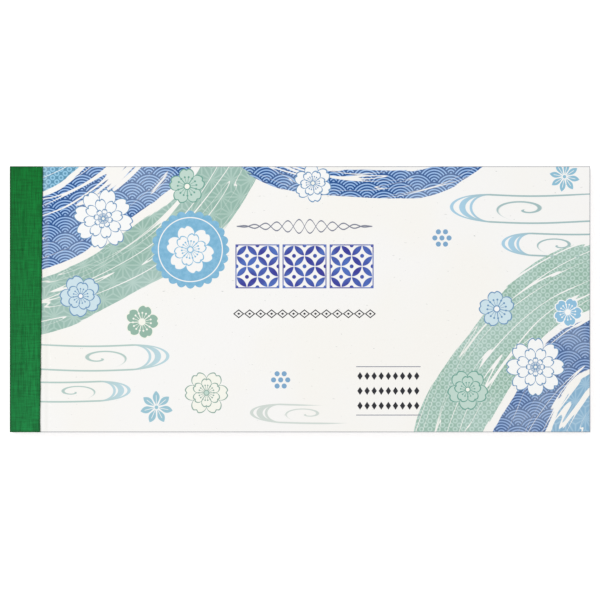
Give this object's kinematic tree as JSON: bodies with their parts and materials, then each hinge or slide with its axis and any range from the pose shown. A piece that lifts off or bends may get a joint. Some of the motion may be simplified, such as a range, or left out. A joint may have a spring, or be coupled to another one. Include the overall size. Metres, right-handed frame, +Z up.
{
  "type": "receipt book",
  "caption": "Cheque-size duplicate receipt book: stapled forms in printed card covers, cloth tape round the spine, cover and sheets turn at the crease, loose writing board.",
  "frame": {"origin": "under the middle of the closed book, on the plane it lies on", "axes": "+X from the taped spine to the fore-edge, +Y from the foot to the head, +Z up out of the front cover"},
  "size_m": [0.18, 0.0826, 0.0054],
  "materials": {
    "cover_card": "smooth printed card, satin",
    "back_card": "uncoated card",
    "grey_board": "uncoated grey board",
    "receipt_paper": "thin uncoated paper",
    "copy_paper": "thin tinted paper",
    "stacked_paper": "cut edges of pressed paper",
    "binding_cloth": "woven book cloth, matt",
    "staple_wire": "galvanised flat wire"
  },
  "bodies": {
    "binding": {"back_cover": "back_card", "sheet_margins": "stacked_paper", "front_cover_margin": "cover_card", "staple_head": "staple_wire", "staple_foot": "staple_wire", "binding_tape": "binding_cloth"},
    "front_cover": {"front_cover": "cover_card"},
    "receipt_01": {"receipt_01": "receipt_paper"},
    "copy_01": {"copy_01": "copy_paper"},
    "receipt_02": {"receipt_02": "receipt_paper"},
    "copy_02": {"copy_02": "copy_paper"},
    "receipt_03": {"receipt_03": "receipt_paper"},
    "copy_03": {"copy_03": "copy_paper"},
    "receipt_04": {"receipt_04": "receipt_paper"},
    "copy_04": {"copy_04": "copy_paper"},
    "receipt_05": {"receipt_05": "receipt_paper"},
    "copy_05": {"copy_05": "copy_paper"},
    "receipt_06": {"receipt_06": "receipt_paper"},
    "copy_06": {"copy_06": "copy_paper"},
    "receipt_07": {"receipt_07": "receipt_paper"},
    "copy_07": {"copy_07": "copy_paper"},
    "receipt_08": {"receipt_08": "receipt_paper"},
    "copy_08": {"copy_08": "copy_paper"},
    "receipt_09": {"receipt_09": "receipt_paper"},
    "copy_09": {"copy_09": "copy_paper"},
    "receipt_10": {"receipt_10": "receipt_paper"},
    "copy_10": {"copy_10": "copy_paper"},
    "receipt_11": {"receipt_11": "receipt_paper"},
    "copy_11": {"copy_11": "copy_paper"},
    "receipt_12": {"receipt_12": "receipt_paper"},
    "copy_12": {"copy_12": "copy_paper"},
    "receipt_13": {"receipt_13": "receipt_paper"},
    "copy_13": {"copy_13": "copy_paper"},
    "receipt_14": {"receipt_14": "receipt_paper"},
    "copy_14": {"copy_14": "copy_paper"},
    "receipt_15": {"receipt_15": "receipt_paper"},
    "copy_15": {"copy_15": "copy_paper"},
    "receipt_16": {"receipt_16": "receipt_paper"},
    "copy_16": {"copy_16": "copy_paper"},
    "receipt_17": {"receipt_17": "receipt_paper"},
    "copy_17": {"copy_17": "copy_paper"},
    "receipt_18": {"receipt_18": "receipt_paper"},
    "copy_18": {"copy_18": "copy_paper"},
    "receipt_19": {"receipt_19": "receipt_paper"},
    "copy_19": {"copy_19": "copy_paper"},
    "receipt_20": {"receipt_20": "receipt_paper"},
    "copy_20": {"copy_20": "copy_paper"},
    "writing_board": {"writing_board": "grey_board"}
  },
  "joints": [
    {"name": "front_cover_turn", "type": "hinge", "parent": "binding", "child": "front_cover", "pos_m": [-0.079, 0, 0.00533], "axis": [0, -1, 0], "range_deg": [0, 180]},
    {"name": "receipt_01_turn", "type": "hinge", "parent": "binding", "child": "receipt_01", "pos_m": [-0.079, 0, 0.00533], "axis": [0, -1, 0], "range_deg": [0, 180]},
    {"name": "copy_01_turn", "type": "hinge", "parent": "binding", "child": "copy_01", "pos_m": [-0.079, 0, 0.00533], "axis": [0, -1, 0], "range_deg": [0, 180]},
    {"name": "receipt_02_turn", "type": "hinge", "parent": "binding", "child": "receipt_02", "pos_m": [-0.079, 0, 0.00533], "axis": [0, -1, 0], "range_deg": [0, 180]},
    {"name": "copy_02_turn", "type": "hinge", "parent": "binding", "child": "copy_02", "pos_m": [-0.079, 0, 0.00533], "axis": [0, -1, 0], "range_deg": [0, 180]},
    {"name": "receipt_03_turn", "type": "hinge", "parent": "binding", "child": "receipt_03", "pos_m": [-0.079, 0, 0.00533], "axis": [0, -1, 0], "range_deg": [0, 180]},
    {"name": "copy_03_turn", "type": "hinge", "parent": "binding", "child": "copy_03", "pos_m": [-0.079, 0, 0.00533], "axis": [0, -1, 0], "range_deg": [0, 180]},
    {"name": "receipt_04_turn", "type": "hinge", "parent": "binding", "child": "receipt_04", "pos_m": [-0.079, 0, 0.00533], "axis": [0, -1, 0], "range_deg": [0, 180]},
    {"name": "copy_04_turn", "type": "hinge", "parent": "binding", "child": "copy_04", "pos_m": [-0.079, 0, 0.00533], "axis": [0, -1, 0], "range_deg": [0, 180]},
    {"name": "receipt_05_turn", "type": "hinge", "parent": "binding", "child": "receipt_05", "pos_m": [-0.079, 0, 0.00533], "axis": [0, -1, 0], "range_deg": [0, 180]},
    {"name": "copy_05_turn", "type": "hinge", "parent": "binding", "child": "copy_05", "pos_m": [-0.079, 0, 0.00533], "axis": [0, -1, 0], "range_deg": [0, 180]},
    {"name": "receipt_06_turn", "type": "hinge", "parent": "binding", "child": "receipt_06", "pos_m": [-0.079, 0, 0.00533], "axis": [0, -1, 0], "range_deg": [0, 180]},
    {"name": "copy_06_turn", "type": "hinge", "parent": "binding", "child": "copy_06", "pos_m": [-0.079, 0, 0.00533], "axis": [0, -1, 0], "range_deg": [0, 180]},
    {"name": "receipt_07_turn", "type": "hinge", "parent": "binding", "child": "receipt_07", "pos_m": [-0.079, 0, 0.00533], "axis": [0, -1, 0], "range_deg": [0, 180]},
    {"name": "copy_07_turn", "type": "hinge", "parent": "binding", "child": "copy_07", "pos_m": [-0.079, 0, 0.00533], "axis": [0, -1, 0], "range_deg": [0, 180]},
    {"name": "receipt_08_turn", "type": "hinge", "parent": "binding", "child": "receipt_08", "pos_m": [-0.079, 0, 0.00533], "axis": [0, -1, 0], "range_deg": [0, 180]},
    {"name": "copy_08_turn", "type": "hinge", "parent": "binding", "child": "copy_08", "pos_m": [-0.079, 0, 0.00533], "axis": [0, -1, 0], "range_deg": [0, 180]},
    {"name": "receipt_09_turn", "type": "hinge", "parent": "binding", "child": "receipt_09", "pos_m": [-0.079, 0, 0.00533], "axis": [0, -1, 0], "range_deg": [0, 180]},
    {"name": "copy_09_turn", "type": "hinge", "parent": "binding", "child": "copy_09", "pos_m": [-0.079, 0, 0.00533], "axis": [0, -1, 0], "range_deg": [0, 180]},
    {"name": "receipt_10_turn", "type": "hinge", "parent": "binding", "child": "receipt_10", "pos_m": [-0.079, 0, 0.00533], "axis": [0, -1, 0], "range_deg": [0, 180]},
    {"name": "copy_10_turn", "type": "hinge", "parent": "binding", "child": "copy_10", "pos_m": [-0.079, 0, 0.00533], "axis": [0, -1, 0], "range_deg": [0, 180]},
    {"name": "receipt_11_turn", "type": "hinge", "parent": "binding", "child": "receipt_11", "pos_m": [-0.079, 0, 0.00533], "axis": [0, -1, 0], "range_deg": [0, 180]},
    {"name": "copy_11_turn", "type": "hinge", "parent": "binding", "child": "copy_11", "pos_m": [-0.079, 0, 0.00533], "axis": [0, -1, 0], "range_deg": [0, 180]},
    {"name": "receipt_12_turn", "type": "hinge", "parent": "binding", "child": "receipt_12", "pos_m": [-0.079, 0, 0.00533], "axis": [0, -1, 0], "range_deg": [0, 180]},
    {"name": "copy_12_turn", "type": "hinge", "parent": "binding", "child": "copy_12", "pos_m": [-0.079, 0, 0.00533], "axis": [0, -1, 0], "range_deg": [0, 180]},
    {"name": "receipt_13_turn", "type": "hinge", "parent": "binding", "child": "receipt_13", "pos_m": [-0.079, 0, 0.00533], "axis": [0, -1, 0], "range_deg": [0, 180]},
    {"name": "copy_13_turn", "type": "hinge", "parent": "binding", "child": "copy_13", "pos_m": [-0.079, 0, 0.00533], "axis": [0, -1, 0], "range_deg": [0, 180]},
    {"name": "receipt_14_turn", "type": "hinge", "parent": "binding", "child": "receipt_14", "pos_m": [-0.079, 0, 0.00533], "axis": [0, -1, 0], "range_deg": [0, 180]},
    {"name": "copy_14_turn", "type": "hinge", "parent": "binding", "child": "copy_14", "pos_m": [-0.079, 0, 0.00533], "axis": [0, -1, 0], "range_deg": [0, 180]},
    {"name": "receipt_15_turn", "type": "hinge", "parent": "binding", "child": "receipt_15", "pos_m": [-0.079, 0, 0.00533], "axis": [0, -1, 0], "range_deg": [0, 180]},
    {"name": "copy_15_turn", "type": "hinge", "parent": "binding", "child": "copy_15", "pos_m": [-0.079, 0, 0.00533], "axis": [0, -1, 0], "range_deg": [0, 180]},
    {"name": "receipt_16_turn", "type": "hinge", "parent": "binding", "child": "receipt_16", "pos_m": [-0.079, 0, 0.00533], "axis": [0, -1, 0], "range_deg": [0, 180]},
    {"name": "copy_16_turn", "type": "hinge", "parent": "binding", "child": "copy_16", "pos_m": [-0.079, 0, 0.00533], "axis": [0, -1, 0], "range_deg": [0, 180]},
    {"name": "receipt_17_turn", "type": "hinge", "parent": "binding", "child": "receipt_17", "pos_m": [-0.079, 0, 0.00533], "axis": [0, -1, 0], "range_deg": [0, 180]},
    {"name": "copy_17_turn", "type": "hinge", "parent": "binding", "child": "copy_17", "pos_m": [-0.079, 0, 0.00533], "axis": [0, -1, 0], "range_deg": [0, 180]},
    {"name": "receipt_18_turn", "type": "hinge", "parent": "binding", "child": "receipt_18", "pos_m": [-0.079, 0, 0.00533], "axis": [0, -1, 0], "range_deg": [0, 180]},
    {"name": "copy_18_turn", "type": "hinge", "parent": "binding", "child": "copy_18", "pos_m": [-0.079, 0, 0.00533], "axis": [0, -1, 0], "range_deg": [0, 180]},
    {"name": "receipt_19_turn", "type": "hinge", "parent": "binding", "child": "receipt_19", "pos_m": [-0.079, 0, 0.00533], "axis": [0, -1, 0], "range_deg": [0, 180]},
    {"name": "copy_19_turn", "type": "hinge", "parent": "binding", "child": "copy_19", "pos_m": [-0.079, 0, 0.00533], "axis": [0, -1, 0], "range_deg": [0, 180]},
    {"name": "receipt_20_turn", "type": "hinge", "parent": "binding", "child": "receipt_20", "pos_m": [-0.079, 0, 0.00533], "axis": [0, -1, 0], "range_deg": [0, 180]},
    {"name": "copy_20_turn", "type": "hinge", "parent": "binding", "child": "copy_20", "pos_m": [-0.079, 0, 0.00533], "axis": [0, -1, 0], "range_deg": [0, 180]},
    {"name": "writing_board_slide", "type": "slide", "parent": "binding", "child": "writing_board", "axis": [1, 0, 0], "range_m": [0, 0.168]}
  ],
  "couplings": [
    {"joint": "receipt_01_turn", "follows": "front_cover_turn", "ratio": 0.9988},
    {"joint": "copy_01_turn", "follows": "front_cover_turn", "ratio": 0.9976},
    {"joint": "receipt_02_turn", "follows": "front_cover_turn", "ratio": 0.9964},
    {"joint": "copy_02_turn", "follows": "front_cover_turn", "ratio": 0.9952},
    {"joint": "receipt_03_turn", "follows": "front_cover_turn", "ratio": 0.994},
    {"joint": "copy_03_turn", "follows": "front_cover_turn", "ratio": 0.9928},
    {"joint": "receipt_04_turn", "follows": "front_cover_turn", "ratio": 0.9916},
    {"joint": "copy_04_turn", "follows": "front_cover_turn", "ratio": 0.9904},
    {"joint": "receipt_05_turn", "follows": "front_cover_turn", "ratio": 0.9892},
    {"joint": "copy_05_turn", "follows": "front_cover_turn", "ratio": 0.988},
    {"joint": "receipt_06_turn", "follows": "front_cover_turn", "ratio": 0.9868},
    {"joint": "copy_06_turn", "follows": "front_cover_turn", "ratio": 0.9856},
    {"joint": "receipt_07_turn", "follows": "front_cover_turn", "ratio": 0.9844},
    {"joint": "copy_07_turn", "follows": "front_cover_turn", "ratio": 0.9832},
    {"joint": "receipt_08_turn", "follows": "front_cover_turn", "ratio": 0.982},
    {"joint": "copy_08_turn", "follows": "front_cover_turn", "ratio": 0.9808},
    {"joint": "receipt_09_turn", "follows": "front_cover_turn", "ratio": 0.9796},
    {"joint": "copy_09_turn", "follows": "front_cover_turn", "ratio": 0.9784},
    {"joint": "receipt_10_turn", "follows": "front_cover_turn", "ratio": 0.9772},
    {"joint": "copy_10_turn", "follows": "front_cover_turn", "ratio": 0.976},
    {"joint": "receipt_11_turn", "follows": "front_cover_turn", "ratio": 0.024},
    {"joint": "copy_11_turn", "follows": "front_cover_turn", "ratio": 0.0228},
    {"joint": "receipt_12_turn", "follows": "front_cover_turn", "ratio": 0.0216},
    {"joint": "copy_12_turn", "follows": "front_cover_turn", "ratio": 0.0204},
    {"joint": "receipt_13_turn", "follows": "front_cover_turn", "ratio": 0.0192},
    {"joint": "copy_13_turn", "follows": "front_cover_turn", "ratio": 0.018},
    {"joint": "receipt_14_turn", "follows": "front_cover_turn", "ratio": 0.0168},
    {"joint": "copy_14_turn", "follows": "front_cover_turn", "ratio": 0.0156},
    {"joint": "receipt_15_turn", "follows": "front_cover_turn", "ratio": 0.0144},
    {"joint": "copy_15_turn", "follows": "front_cover_turn", "ratio": 0.0132},
    {"joint": "receipt_16_turn", "follows": "front_cover_turn", "ratio": 0.012},
    {"joint": "copy_16_turn", "follows": "front_cover_turn", "ratio": 0.0108},
    {"joint": "receipt_17_turn", "follows": "front_cover_turn", "ratio": 0.0096},
    {"joint": "copy_17_turn", "follows": "front_cover_turn", "ratio": 0.0084},
    {"joint": "receipt_18_turn", "follows": "front_cover_turn", "ratio": 0.0072},
    {"joint": "copy_18_turn", "follows": "front_cover_turn", "ratio": 0.006},
    {"joint": "receipt_19_turn", "follows": "front_cover_turn", "ratio": 0.0048},
    {"joint": "copy_19_turn", "follows": "front_cover_turn", "ratio": 0.0036},
    {"joint": "receipt_20_turn", "follows": "front_cover_turn", "ratio": 0.0024},
    {"joint": "copy_20_turn", "follows": "front_cover_turn", "ratio": 0.0012}
  ]
}
